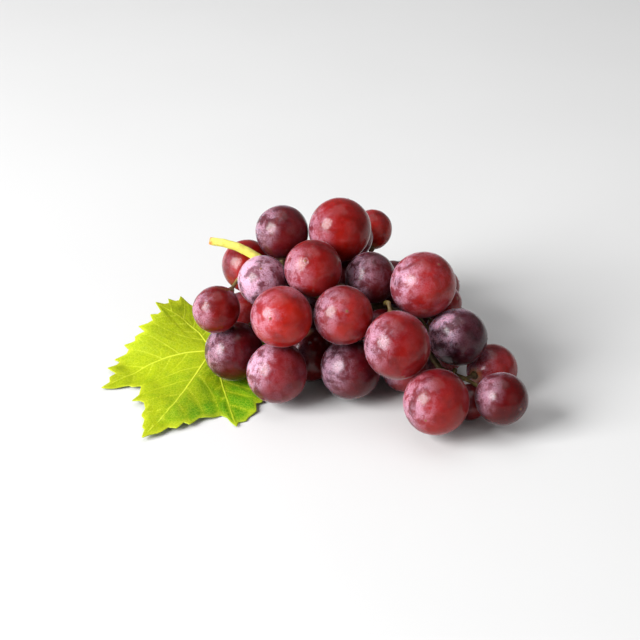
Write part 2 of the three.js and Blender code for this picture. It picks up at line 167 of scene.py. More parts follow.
# The leaf's edge, as (degrees from the middle lobe, share of the leaf's length), with its teeth.
# Positive angles are on the side away from the bunch.
LEAF_EDGE = [
    (-180, 0.05), (-174, 0.12), (-168, 0.25), (-161, 0.30), (-158, 0.37), (-150, 0.34), (-147, 0.42),
    (-139, 0.42), (-136, 0.50), (-128, 0.47), (-125, 0.54), (-117, 0.50), (-113, 0.54), (-106, 0.45),
    (-102, 0.51), (-95, 0.47), (-91, 0.54), (-84, 0.50), (-80, 0.58), (-73, 0.53), (-69, 0.58),
    (-64, 0.54), (-58, 0.60), (-54, 0.59), (-51, 0.66), (-45, 0.69), (-43, 0.72), (-39, 0.72), (-37, 0.77),
    (-34, 0.65), (-31, 0.62), (-26, 0.65), (-19, 0.67), (-15, 0.75), (-12, 0.74), (-10, 0.80), (-6, 0.80),
    (-4, 0.87), (-1, 0.91), (1, 0.96), (3, 0.87), (5, 0.85), (7, 0.78), (10, 0.76), (11, 0.70), (15, 0.66),
    (18, 0.66), (22, 0.69), (24, 0.61), (28, 0.57), (32, 0.54), (35, 0.59), (38, 0.60), (40, 0.69),
    (43, 0.77), (46, 0.70), (50, 0.69), (53, 0.64), (56, 0.67), (59, 0.69), (62, 0.63), (65, 0.61),
    (67, 0.65), (71, 0.57), (74, 0.56), (77, 0.60), (80, 0.53), (83, 0.54), (87, 0.48), (90, 0.54),
    (94, 0.49), (98, 0.47), (101, 0.51), (105, 0.47), (109, 0.47), (112, 0.56), (117, 0.52), (121, 0.52),
    (123, 0.56), (127, 0.53), (130, 0.53), (133, 0.57), (137, 0.50), (140, 0.47), (143, 0.48), (149, 0.38),
    (152, 0.40), (158, 0.31), (162, 0.33), (168, 0.22), (174, 0.11), (180, 0.05),
]

# The five veins that leave the joint, in the same terms, from the middle lobe's outwards.
MAIN_VEINS = [
    [(-4, 0.03), (-2, 0.3), (-1, 0.6), (1, 0.95)],
    [(74, 0.05), (65, 0.17), (59, 0.3), (54, 0.45), (48, 0.6), (43, 0.76)],
    [(-44, 0.06), (-40, 0.2), (-38, 0.4), (-37, 0.76)],
    [(146, 0.06), (133, 0.22), (121, 0.38), (112, 0.55)],
    [(-128, 0.06), (-112, 0.2), (-101, 0.35), (-91, 0.53)],
]

# ---------------------------------------------------------------- the settings a user would change


def colour(name, description, default):
    """A colour property."""
    return bpy.props.FloatVectorProperty(
        name=name, description=description, default=default, size=3, min=0, max=1, subtype="COLOR"
    )


def length(name, description, default_mm):
    """A length property, in metres."""
    return bpy.props.FloatProperty(
        name=name,
        description=description,
        default=default_mm * MM,
        min=0,
        subtype="DISTANCE",
        unit="LENGTH",
        precision=5,
    )


def share(name, description, default):
    """A property from 0 to 1."""
    return bpy.props.FloatProperty(
        name=name, description=description, default=default, min=0, max=1, subtype="FACTOR"
    )


def watts(name, description, default):
    """A light's power, in watts."""
    return bpy.props.FloatProperty(
        name=name, description=description, default=default, min=0, unit="POWER"
    )


class FruitSettings(bpy.types.PropertyGroup):
    """The grapes' sizes and colours."""

    swell: length("Swell", "How far the skin stands out from the CAD grape, so that neighbours touch", 0.12)
    lumps: length("Lumps", "How far the skin strays from a true round", 0.22)
    scar: length("Scar", "Width of the brown scar at the blossom end", 0.9)
    sides: bpy.props.IntProperty(
        name="Sides", description="Facets round a grape", default=72, min=12, max=128
    )
    scarlet: colour("Scarlet", "Skin of the brightest grapes", (0.21, 0.001, 0.001))
    crimson: colour("Crimson", "Skin of the common deep red grapes", (0.115, 0.001, 0.002))
    pink: colour("Pink", "Skin of the palest grapes", (0.165, 0.001, 0.003))
    lilac: colour("Lilac", "Skin of the grapes under the thickest bloom", (0.105, 0.003, 0.009))
    purple: colour("Purple", "Skin of the darkest grapes", (0.05, 0.001, 0.005))
    # The flesh colour is painted as a glow of light through the skin, on the side away from the key light.
    flesh: colour("Flesh", "Glow of the flesh through the skin", (0.42, 0.010, 0.001))
    bloom: colour("Bloom", "The waxy dust on the skin", (0.57, 0.34, 0.46))
    cork: colour("Cork", "The scar at the blossom end", (0.20, 0.085, 0.035))


class StemSettings(bpy.types.PropertyGroup):
    """The stem's sizes and colours."""

    voxel: length("Grain", "Size of the finest detail", 0.3)
    warts: length("Warts", "Height of the bumps", 0.12)
    fresh: colour("Fresh", "The part that stands out of the bunch", (0.84, 0.78, 0.16))
    # The dark olive inside the bunch is partly the older stem's own colour and partly painted shade.
    aged: colour("Aged", "The part inside the bunch", (0.10, 0.065, 0.015))
    bark: colour("Bark", "Brown fuzz at the joints", (0.085, 0.036, 0.014))
    cut: colour("Cut", "The cut end", (0.60, 0.22, 0.04))


class LeafSettings(bpy.types.PropertyGroup):
    """The leaf's sizes and colours."""

    thickness: length("Thickness", "Thickness of the blade", 0.35)
    ribs: length("Ribs", "Height of the main veins", 0.2)
    quilting: length("Quilting", "How far the blade swells between veins", 0.2)
    waves: length("Waves", "Height of the waves along the edge", 1.6)
    young: colour("Young", "The yellow-green of the back of the leaf", (0.31, 0.38, 0.001))
    # The darker green near the bunch is partly painted shade, on the half of the leaf that faces away from
    # the light.
    grown: colour("Grown", "The green near the bunch", (0.07, 0.235, 0.001))
    edge: colour("Edge", "The thin yellow edge", (0.60, 0.62, 0.03))
    vein: colour("Vein", "The veins", (0.62, 0.68, 0.05))
    under: colour("Underside", "The pale underside", (0.34, 0.44, 0.13))


class StudioSettings(bpy.types.PropertyGroup):
    """The floor, the lights and the camera."""

    floor: colour("Floor", "The pale floor", (0.65, 0.65, 0.65))
    floor_size: length("Floor size", "Width of the floor", 4000)
    key: watts("Key", "Power of the window", 72)
    fill: watts("Fill", "Power of the fill", 0.8)
    top: watts("Top", "Power from above", 3.5)
    sky: share("Sky", "Brightness of the room", 0.22)
    camera_distance: length("Camera distance", "From the camera to the bunch", 600)
    camera_lens: bpy.props.FloatProperty(name="Lens", description="Focal length", default=81, unit="CAMERA")
    camera_height: bpy.props.FloatProperty(
        name="Height",
        description="The camera's angle over the floor",
        default=math.radians(32),
        subtype="ANGLE",
    )


class BunchSettings(bpy.types.PropertyGroup):
    """Everything about the bunch that a user would change."""

    seed: bpy.props.IntProperty(name="Seed", description="Picks the marks on the skins", default=7, min=0)
    fruit: bpy.props.PointerProperty(type=FruitSettings)
    stem: bpy.props.PointerProperty(type=StemSettings)
    leaf: bpy.props.PointerProperty(type=LeafSettings)
    studio: bpy.props.PointerProperty(type=StudioSettings)


# ---------------------------------------------------------------- small helpers


def smoothstep(low, high, value):
    """0 at low, 1 at high, and a smooth rise between them."""
    done = np.clip((value - low) / (high - low), 0.0, 1.0)
    return done * done * (3.0 - 2.0 * done)


def merged_copy(node):
    """A bmesh of a CAD node, with its loose triangles joined."""
    bm = bmesh.new()
    bm.from_mesh(frame["nodes"][node].data)
    bmesh.ops.remove_doubles(bm, verts=bm.verts, dist=SAME_PLACE)
    return bm


def new_piece(name, bm, material, node):
    """Makes a smooth-shaded piece that stands for a CAD node."""
    mesh = bpy.data.meshes.new(name)
    bm.to_mesh(mesh)
    bm.free()
    mesh.shade_smooth()
    mesh.materials.append(material)
    piece = bpy.data.objects.new(name, mesh)
    bpy.context.scene.collection.objects.link(piece)
    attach(piece, BODY)
    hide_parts(node)
    return piece


def places(mesh):
    """The mesh's vertices as an array of [x, y, z]."""
    flat = np.empty(len(mesh.vertices) * 3)
    mesh.vertices.foreach_get("co", flat)
    return flat.reshape(-1, 3)


def facing(mesh):
    """The mesh's vertex normals as an array of [x, y, z]."""
    flat = np.empty(len(mesh.vertices) * 3)
    mesh.vertex_normals.foreach_get("vector", flat)
    return flat.reshape(-1, 3)


def paint(mesh, name, values):
    """Writes one number for each vertex, which the material reads."""
    layer = mesh.attributes.new(name, "FLOAT", "POINT")
    layer.data.foreach_set("value", np.asarray(values, np.float32))


def rod(points, radii, sides):
    """A closed round rod through points, with a radius at each."""
    steps = len(points)
    bm = bmesh.new()
    bmesh.ops.create_grid(bm, x_segments=sides, y_segments=steps - 1, size=1)
    up = Vector((0, 0, 1))
    for vert in bm.verts:
        turn = math.pi * (vert.co.x + 1)
        step = round((vert.co.y + 1) / 2 * (steps - 1))
        way = (points[min(step + 1, steps - 1)] - points[max(step - 1, 0)]).normalized()
        side = way.cross(up).normalized()
        rim = side * math.cos(turn) + side.cross(way) * math.sin(turn)
        vert.co = points[step] + rim * radii[step]
    bmesh.ops.remove_doubles(bm, verts=bm.verts, dist=SAME_PLACE)
    bmesh.ops.holes_fill(bm, edges=[edge for edge in bm.edges if edge.is_boundary])
    bmesh.ops.recalc_face_normals(bm, faces=bm.faces)
    return bm


class Shader:
    """One node material on the Principled surface."""

    def __init__(self, name):
        self.material = bpy.data.materials.new(name)
        self.material.use_nodes = True
        self.tree = self.material.node_tree
        self.surface = self.tree.nodes["Principled BSDF"]
        self.place = self.tree.nodes.new("ShaderNodeTexCoord").outputs["Object"]

    def node(self, kind, inputs, **settings):
        """Adds a node. inputs maps a socket's name or number to a value or to another node's output."""
        made = self.tree.nodes.new(kind)
        for key, value in settings.items():
            setattr(made, key, value)
        for key, value in inputs.items():
            self.plug(made.inputs[key], value)
        return made

    def plug(self, socket, value):
        """Links an output to a socket, or sets the socket's own value."""
        if isinstance(value, bpy.types.NodeSocket):
            self.tree.links.new(value, socket)
        elif socket.type == "RGBA":
            socket.default_value = (*value, 1.0)
        else:
            socket.default_value = value

    def painted(self, name):
        """A number painted on the mesh."""
        return self.node("ShaderNodeAttribute", {}, attribute_name=name).outputs["Fac"]

    def stretched(self, turn, scale):
        """Object coordinates, turned and then stretched."""
        inputs = {"Vector": self.place, "Rotation": turn, "Scale": scale}
        return self.node("ShaderNodeMapping", inputs).outputs["Vector"]

    def noise(self, size_mm, detail=3.0, roughness=0.5, distortion=0.0, place=None):
        """Noise from 0 to 1, in patches about size_mm across."""
        inputs = {
            "Vector": place or self.place,
            "Scale": 1 / (size_mm * MM),
            "Detail": detail,
            "Roughness": roughness,
            "Distortion": distortion,
        }
        return self.node("ShaderNodeTexNoise", inputs).outputs["Fac"]

    def cells(self, size_mm, feature):
        """Distance in cells about size_mm across, from their middles or edges, as a share of their size."""
        inputs = {"Vector": self.place, "Scale": 1 / (size_mm * MM)}
        return self.node("ShaderNodeTexVoronoi", inputs, feature=feature).outputs["Distance"]

    def calc(self, operation, first, second):
        """One operation on two numbers or outputs."""
        return self.node("ShaderNodeMath", {0: first, 1: second}, operation=operation).outputs[0]

    def ramp(self, value, low, high, to_low=0.0, to_high=1.0):
        """value taken smoothly from low..high to to_low..to_high."""
        inputs = {"Value": value, "From Min": low, "From Max": high, "To Min": to_low, "To Max": to_high}
        return self.node("ShaderNodeMapRange", inputs, interpolation_type="SMOOTHSTEP").outputs["Result"]

    def mix(self, amount, first, second):
        """Two colours, mixed by amount."""
        inputs = {"Factor_Float": amount, "A_Color": first, "B_Color": second}
        made = self.tree.nodes.new("ShaderNodeMix")
        made.data_type = "RGBA"
        for socket in made.inputs:
            if socket.identifier in inputs:
                self.plug(socket, inputs[socket.identifier])
        return next(socket for socket in made.outputs if socket.identifier == "Result_Color")

    def bump(self, height, depth_mm, before=None):
        """Fine relief, too small for the mesh, on top of any before it."""
        inputs = {"Height": height, "Strength": 1.0, "Distance": depth_mm * MM}
        if before:
            inputs["Normal"] = before
        return self.node("ShaderNodeBump", inputs).outputs["Normal"]

    def finish(self, **sockets):
        """Sets the surface's sockets, and returns the material."""
        for key, value in sockets.items():
            self.plug(self.surface.inputs[key.replace("_", " ")], value)
        return self.material


# ---------------------------------------------------------------- grapes

Grape = namedtuple("Grape", "node centre axis radius half")


def read_grape(node, stem_points):
    """Where a grape is and how big it is. Its axis points to its stem end, where CAD_SIDES facets meet."""
    bm = merged_copy(node)
    poles = [vert for vert in bm.verts if len(vert.link_edges) == CAD_SIDES]
    if not poles:
        raise RuntimeError(f"{node} has no stem end")
    pole = min(poles, key=lambda vert: stem_points.find(vert.co)[2])
    ring = [edge.other_vert(pole).co for edge in pole.link_edges]
    middle = sum(ring, Vector()) / CAD_SIDES
    axis = (pole.co - middle).normalized()
    turn = math.pi / CAD_RINGS
    half = (pole.co - middle).length / (1 - math.cos(turn))
    ring_radius = sum((co - middle).length for co in ring) / CAD_SIDES
    radius = ring_radius / (math.sin(turn) * (1 - CAD_EGG * math.cos(turn)))
    centre = pole.co - axis * half
    bm.free()
    return Grape(node, centre, axis, radius, half)


def read_grapes():
    """Every grape in the CAD frame."""
    stem = frame["nodes"]["stem"].data.vertices
    stem_points = kdtree.KDTree(len(stem))
    for vert in stem:
        stem_points.insert(vert.co, vert.index)
    stem_points.balance()
    nodes = [node for node in sorted(frame["nodes"]) if node.startswith("grape_")]
    return [read_grape(node, stem_points) for node in nodes]


def grape_outline(grape, settings):
    """Points of half a grape's outline, from the dimple at its stem end to the scar at its blossom end."""
    near_stem = np.linspace(0, 0.3, 9)[:-1]
    between = np.linspace(0.3, math.pi - 0.22, 36)
    near_scar = np.linspace(math.pi - 0.22, math.pi, 15)[1:]
    turn = np.concatenate((near_stem, between, near_scar))
    radius = grape.radius + settings.swell
    half = grape.half + settings.swell
    from_stem = turn * radius
    from_scar = (math.pi - turn) * radius
    dimple = DIMPLE_DEPTH * np.exp(-((from_stem / DIMPLE_WIDTH) ** 2))
    button = BUTTON_HEIGHT * (1 - smoothstep(settings.scar * 0.3, settings.scar * 0.55, from_scar))
    moat = MOAT_DEPTH * np.exp(-(((from_scar - settings.scar) / MOAT_WIDTH) ** 2))
    detail = button - dimple - moat
    out = (radius * (1 - CAD_EGG * np.cos(turn)) + detail) * np.sin(turn)
    along = (half + detail) * np.cos(turn)
    return out, along


def grape_mesh(grape, settings, seed):
    """A grape as one closed mesh, in its place."""
    out, along = grape_outline(grape, settings)
    bm = bmesh.new()
    verts = [bm.verts.new((x, 0, z)) for x, z in zip(out, along)]
    edges = [bm.edges.new(pair) for pair in zip(verts, verts[1:])]
    bmesh.ops.spin(
        bm,
        geom=verts + edges,
        cent=(0, 0, 0),
        axis=(0, 0, 1),
        angle=2 * math.pi,
        steps=settings.sides,
        use_merge=True,
    )
    bmesh.ops.remove_doubles(bm, verts=bm.verts, dist=2 * SAME_PLACE)
    bmesh.ops.recalc_face_normals(bm, faces=bm.faces)
    turned = Vector((0, 0, 1)).rotation_difference(grape.axis).to_matrix().to_4x4()
    bmesh.ops.transform(bm, matrix=Matrix.Translation(grape.centre) @ turned, verts=bm.verts)
    for vert in bm.verts:
        way = (vert.co - grape.centre).normalized()
        broad = noise.noise(way * 1.1 + Vector((seed, 0, 0)))
        small = noise.noise(way * 3.5 + Vector((0, seed, 0)))
        vert.co += way * (broad + 0.35 * small) * settings.lumps
        vert.co.z = settle_on_table(vert.co.z)
    return bm


def settle_on_table(height, softness=0.3 * MM):
    """Presses what would be below the table flat on it, with a soft edge."""
    return (height + math.sqrt(height * height + softness * softness)) / 2


def paint_grape(mesh, grape, look, chance):
    """Paints where a grape has bloom, thickest as a painted highlight towards the key light, a painted glow
    of light through its flesh away from that light, deeper colour, its scar and its paler neck.
    """
    way = places(mesh) - np.array(grape.centre)
    way /= np.linalg.norm(way, axis=1)[:, None]
    wander = Vector([chance.uniform(-0.3, 0.3) for _ in range(3)])
    behind = Vector((chance.uniform(-0.7, 0.7), 0.7, chance.uniform(0.0, 0.7))).normalized()
    # Painted glow of light through the flesh: on the side away from the key light, and on a random side
    # behind.
    front_painted_glow = smoothstep(-0.1, 1.0, way @ np.array((PAINTED_GLOW_SIDE + wander).normalized()))
    back_painted_glow = smoothstep(-0.1, 1.0, way @ np.array(behind))
    paint(mesh, "glow", look.glow * np.maximum(front_painted_glow, back_painted_glow * 0.8))
    # Painted highlight: the bloom is painted thickest on the side towards the key light.
    front_bloom_highlight = smoothstep(0.42, 1.0, way @ np.array((BLOOM_HIGHLIGHT_SIDE + wander * 0.6).normalized()))
    back_bloom = smoothstep(0.42, 1.0, way @ np.array((behind + wander).normalized()))
    bloom_and_highlight = np.maximum(front_bloom_highlight, back_bloom)
    haze = look.haze * HAZE_COVER
    paint(mesh, "bloom", look.bloom * (haze + (1 - haze) * bloom_and_highlight))
    paint(mesh, "dark", np.full(len(way), look.dark))
    lengthwise = np.arccos(np.clip(way @ np.array(grape.axis), -1, 1)) * grape.radius
    from_scar = math.pi * grape.radius - lengthwise
    paint(mesh, "from_scar", from_scar / MM)
    paint(mesh, "from_stalk", lengthwise / MM)


def skin_material(name, settings, skin, bloom):
    """Grape skin: thin wax over clear red flesh, wiped in places, with a painted glow of light through the
    flesh and the wax painted thickest where the key light's highlight falls. bloom is how much wax this
    kind has.
    """
    shader = Shader(name)
    red = np.array(skin)
    deep = tuple(red * np.array((0.42, 0.35, 0.6)))
    clouds = shader.ramp(shader.noise(9.0, 5, 0.6, 0.3), 0.32, 0.58, 0.05, 1)
    colour_now = shader.mix(clouds, deep, skin)
    uneven = shader.ramp(shader.noise(7.0, 5, 0.6, 0.3), 0.3, 0.6, 0.45, 1)
    # Painted glow: the flesh colour where light would shine through the grape.
    glow = shader.calc("MULTIPLY", shader.painted("glow"), uneven)
    colour_now = shader.mix(glow, colour_now, settings.flesh)
    colour_now = shader.mix(shader.calc("MULTIPLY", shader.painted("dark"), 0.8), colour_now, deep)

    pores = shader.ramp(shader.cells(1.15, "F1"), 0.08, 0.17, 0.16, 0)
    pores = shader.calc("MULTIPLY", pores, shader.ramp(shader.noise(3.0), 0.42, 0.6))
    colour_now = shader.mix(pores, colour_now, (0.55, 0.16, 0.10))

    patches = shader.ramp(shader.noise(4.5, 5, 0.58, 0.3), 0.37, 0.61, 0.15, 1)
    grains = shader.ramp(shader.noise(0.5, 4, 0.75, 0.2), 0.36, 0.54, 0.3, 1)
    wax = shader.calc("MULTIPLY", patches, grains)
    film = shader.ramp(shader.noise(9.0, 3, 0.5), 0.25, 0.75, 0.0, 0.12)
    wax = shader.calc("MAXIMUM", wax, film)
    # The painted bloom mask: partly a painted highlight on the side towards the key light.
    wax = shader.calc("MULTIPLY", wax, shader.painted("bloom"))
    thin = shader.stretched((0.4, 0.9, 0.2), (1, 1, 0.12))
    wiped = shader.ramp(shader.noise(1.3, 3, 0.6, 0.8, thin), 0.62, 0.70, 1, 0.3)
    wax = shader.calc("MULTIPLY", wax, wiped)
    wax = shader.calc("MULTIPLY", wax, bloom * BLOOM_COVER)
    colour_now = shader.mix(wax, colour_now, settings.bloom)

    neck = shader.ramp(shader.painted("from_stalk"), 1.6, 4.5, 0.65, 0)
    colour_now = shader.mix(neck, colour_now, (0.55, 0.26, 0.12))
    scar_edge = settings.scar / MM * 0.5
    scar = shader.ramp(shader.painted("from_scar"), scar_edge, scar_edge * 1.25, 1, 0)
    halo = shader.ramp(shader.painted("from_scar"), scar_edge * 1.3, scar_edge * 3, 0.1, 0)
    colour_now = shader.mix(halo, colour_now, settings.bloom)
    colour_now = shader.mix(scar, colour_now, settings.cork)

    gloss = shader.ramp(wax, 0, 0.5, 0.18, 0.32)
    gloss = shader.calc("MAXIMUM", gloss, shader.calc("MULTIPLY", scar, 0.8))
    fine = shader.bump(shader.noise(0.5, 3, 0.6), 0.02)
    return shader.finish(
        Base_Color=colour_now,
        Roughness=gloss,
        Normal=shader.bump(shader.noise(2.6, 3, 0.5), 0.12, fine),
        IOR=1.35,
        Subsurface_Weight=0.6,
        Subsurface_Radius=(1.0, 0.16, 0.12),
        Subsurface_Scale=3.0 * MM,
        Sheen_Weight=0.28,
        Sheen_Roughness=0.2,
        Sheen_Tint=(0.95, 0.72, 0.82),
    )


# ---------------------------------------------------------------- stem


def add_collar(bm, grape, fruit):
    """Adds the warty collar that a grape sits on, from its skin to its stalk."""
    seat = grape.centre + grape.axis * (grape.half + fruit.swell - COLLAR_SUNK)
    turned = grape.axis.to_track_quat("Z", "Y").to_matrix().to_4x4()
    bmesh.ops.create_cone(
        bm,
        cap_ends=True,
        segments=20,
        radius1=COLLAR_AT_GRAPE,
        radius2=COLLAR_AT_STALK,
        depth=COLLAR_HEIGHT,
        matrix=Matrix.Translation(seat + grape.axis * COLLAR_HEIGHT / 2) @ turned,
    )


def stem_mesh(grapes, settings, fruit):
    """The CAD stem with its collars, remeshed round and grown together, with small warts."""
    bm = merged_copy("stem")
    for grape in grapes:
        add_collar(bm, grape, fruit)
    rough = bpy.data.meshes.new("stem_rough")
    bm.to_mesh(rough)
    bm.free()
    holder = bpy.data.objects.new("stem_rough", rough)
    bpy.context.scene.collection.objects.link(holder)
    remesh = holder.modifiers.new("grown", "REMESH")
    remesh.mode = "VOXEL"
    remesh.voxel_size = settings.voxel
    smooth = holder.modifiers.new("round", "SMOOTH")
    smooth.factor = 0.5
    smooth.iterations = 5
    depsgraph = bpy.context.evaluated_depsgraph_get()
    bm = bmesh.new()
    bm.from_object(holder, depsgraph)
    bpy.data.objects.remove(holder)
    bpy.data.meshes.remove(rough)
    bm.normal_update()
    moves = []
    for vert in bm.verts:
        grain = noise.noise(vert.co * 900) + 0.6 * noise.noise(vert.co * 2200)
        warts = max(noise.noise(vert.co * 600 + Vector((3, 0, 0))), 0)
        moves.append(vert.normal * (STEM_REGAIN + settings.warts * (0.35 * grain + 1.2 * warts)))
    for vert, move in zip(bm.verts, moves):
        vert.co += move
    return bm


def stem_material(settings):
    """Yellow-green stem outside the bunch, a dark olive inside it that is partly painted shade, brown and
    rough at its joints and its cut.
    """
    shader = Shader("stem")
    uneven = shader.ramp(shader.noise(4.0, 4), 0.3, 0.6, 0.88, 1)
    # Dark olive inside the bunch: the older stem's colour, darkened as painted shade.
    aged = shader.calc("MULTIPLY", shader.painted("aged"), uneven)
    colour_now = shader.mix(aged, settings.fresh, settings.aged)
    streaks = shader.ramp(shader.noise(0.9, 4, 0.6, 0.5), 0.5, 0.75, 0, 0.45)
    streaks = shader.calc("MULTIPLY", streaks, shader.calc("SUBTRACT", 1.0, aged))
    darker = tuple(np.array(settings.fresh) * 0.55)
    colour_now = shader.mix(streaks, colour_now, darker)
    fuzz = shader.ramp(shader.noise(1.6, 5, 0.65, 0.8), 0.44, 0.62)
    brown = shader.calc("MULTIPLY", shader.painted("joint"), shader.ramp(fuzz, 0, 1, 0.45, 1))
    brown = shader.calc("MAXIMUM", brown, shader.calc("MULTIPLY", shader.calc("MULTIPLY", fuzz, aged), 0.6))
    colour_now = shader.mix(brown, colour_now, settings.bark)
    colour_now = shader.mix(shader.painted("cut"), colour_now, settings.cut)
    return shader.finish(
        Base_Color=colour_now,
        Roughness=shader.ramp(brown, 0, 1, 0.45, 0.8),
        Normal=shader.bump(shader.noise(0.35, 4, 0.7), 0.05),
        Subsurface_Weight=0.25,
        Subsurface_Radius=(1.0, 0.8, 0.2),
        Subsurface_Scale=1.0 * MM,
    )


def paint_stem(mesh, grapes):
    """Paints where the stem is old and darkened by painted shade inside the bunch, where it is brown at the
    joints, and its cut end.
    """
    place = places(mesh)
    low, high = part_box("stem")
    from_cut = (place[:, 0] - low.x) / MM
    paint(mesh, "cut", 1 - smoothstep(0.5, 2.0, from_cut + 0.3 * np.sin(place[:, 1] / MM * 3)))
    below_top = (high.z - place[:, 2]) / MM
    # Inside the bunch, far from the cut or deep below the stem's top: older stem, darkened as painted
    # shade.
    paint(mesh, "aged", np.maximum(smoothstep(17, 30, from_cut), smoothstep(10, 15, below_top)))
    seats = [grape.centre + grape.axis * grape.half for grape in grapes]
    nearest = np.full(len(place), np.inf)
    for seat in seats:
        nearest = np.minimum(nearest, np.linalg.norm(place - np.array(seat), axis=1))
    paint(mesh, "joint", 1 - smoothstep(1.5, 4.0, nearest / MM))


# ---------------------------------------------------------------- leaf

# The leaf's own axes in X and Y: along its middle lobe, and out to the side away from the bunch.
LEAF_AXES = np.array(
    (
        (math.cos(LEAF_HEADING), math.sin(LEAF_HEADING)),
        (math.sin(LEAF_HEADING), -math.cos(LEAF_HEADING)),
    )
)


def on_leaf(degrees, reach):
    """[along the middle lobe, out to its side] on the leaf, from an angle and a share of its length."""
    turn = np.radians(degrees)
    return np.stack((np.cos(turn), np.sin(turn)), axis=-1) * np.asarray(reach)[..., None] * LEAF_LENGTH


def leaf_joint():
    """Where the leaf's stalk joins its blade, on the table, from the two tips that its box starts at."""
    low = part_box("leaf")[0]
    outer_tip = on_leaf(*LEAF_OUTER_TIP) @ LEAF_AXES
    middle_tip = on_leaf(*LEAF_MIDDLE_TIP) @ LEAF_AXES
    return Vector((low.x - outer_tip[0], low.y - middle_tip[1], low.z))


def leaf_height(along, out):
    """The height of the CAD leaf's middle: creased along its middle lobe, curled up at the outer back."""
    crest = LEAF_CREST * np.clip(1 - along / LEAF_LENGTH, 0, 1)
    side = out / np.where(out < 0, LEAF_LENGTH / 6, LEAF_LENGTH / 3)
    curl = smoothstep(-LEAF_LENGTH / 3, LEAF_LENGTH / 4, -along) * smoothstep(0, 0.6 * LEAF_LENGTH, out)
    return crest * np.exp(-side * side) + LEAF_CURL * curl


def edge_reach(degrees):
    """How far the leaf's edge is from the joint at an angle, as a share of the leaf's length."""
    angles, reaches = zip(*LEAF_EDGE)
    return np.interp(degrees, angles, reaches)


def smooth_line(points, steps=24):
    """A line through a few points, with more points between them."""
    knots = np.linspace(0, 1, len(points))
    shares = np.linspace(0, 1, steps)
    return np.stack([np.interp(shares, knots, column) for column in np.asarray(points).T], axis=-1)


def far_from(line, lines, gap):
    """True where a point is further than gap from every point of lines."""
    points = np.concatenate(lines)
    return np.min(np.linalg.norm(points - line, axis=1)) > gap


def side_veins(main, others, first_side):
    """Veins that leave a main vein on each side in turn, and run until they meet the edge or another."""
    grown = []
    steps = len(main)
    for start in range(4, steps - 2, 4):
        for side in (first_side, -first_side):
            shift = 2 if side == first_side else 0
            root = min(start + shift, steps - 2)
            way = main[root + 1] - main[root - 1]
            heading = math.atan2(way[1], way[0]) + side * math.radians(64 - 10 * start / steps)
            line = [main[root]]
            for step in range(60):
                heading -= side * VEIN_BEND
                tip = line[-1] + VEIN_STEP * np.array((math.cos(heading), math.sin(heading)))
                degrees = math.degrees(math.atan2(tip[1], tip[0]))
                if np.hypot(*tip) > edge_reach(degrees) * LEAF_LENGTH * VEIN_END:
                    break
                if step > 2 and not far_from(tip, others + grown, VEIN_ROOM):
                    break
                line.append(tip)
            if len(line) > 3:
                grown.append(np.array(line))
    return grown


def leaf_veins():
    """Every vein big enough to model, as (points, width at its root)."""
    mains = [smooth_line([on_leaf(*point) for point in vein]) for vein in MAIN_VEINS]
    veins = [(line, MAIN_VEIN_WIDTH) for line in mains]
    for i, main in enumerate(mains):
        others = mains[:i] + mains[i + 1 :] + [line for line, _ in veins[len(mains) :]]
        sides = side_veins(main, others, 1 if i % 2 else -1)
        veins += [(line, SIDE_VEIN_WIDTH) for line in sides]
    return veins


def vein_distances(place, veins):
    """For each place on the leaf: how much vein is there, 0 to 1, and the distance to the nearest one."""
    ridge = np.zeros(len(place))
    nearest = np.full(len(place), np.inf)
    for line, width in veins:
        for i in range(len(line) - 1):
            way = line[i + 1] - line[i]
            reached = np.clip((place - line[i]) @ way / (way @ way), 0, 1)
            distance = np.linalg.norm(place - line[i] - reached[:, None] * way, axis=1)
            taper = 1 - 0.7 * (i + reached) / len(line)
            here = width / 2 * taper
            strength = (0.3 + 0.7 * width / MAIN_VEIN_WIDTH) * (0.5 + 0.5 * taper)
            ridge = np.maximum(ridge, strength * (1 - smoothstep(0.35, 1.25, distance / here)))
            nearest = np.minimum(nearest, distance)
    return ridge, nearest


def leaf_waves(place, margin):
    """Waves that lift the leaf off the table, more towards its edge."""
    waves = np.array([noise.noise(Vector((x, y, 0)) * 55) for x, y in place])
    ripples = np.array([noise.noise(Vector((x, y, 4)) * 150) for x, y in place])
    return np.clip(0.55 + waves + 0.35 * ripples, 0, None) * (0.15 + 0.85 * margin)


def under_grapes(place, height, grapes, gap):
    """Keeps the leaf below the grapes that lie on it."""
    for grape in grapes:
        aside = np.hypot(place[:, 0] - grape.centre.x, place[:, 1] - grape.centre.y)
        inside = np.sqrt(np.clip(grape.half**2 - aside**2, 0, None))
        ceiling = np.where(aside < grape.half, grape.centre.z - inside - gap, np.inf)
        height = np.where(ceiling > 0, np.minimum(height, ceiling), height)
    return height


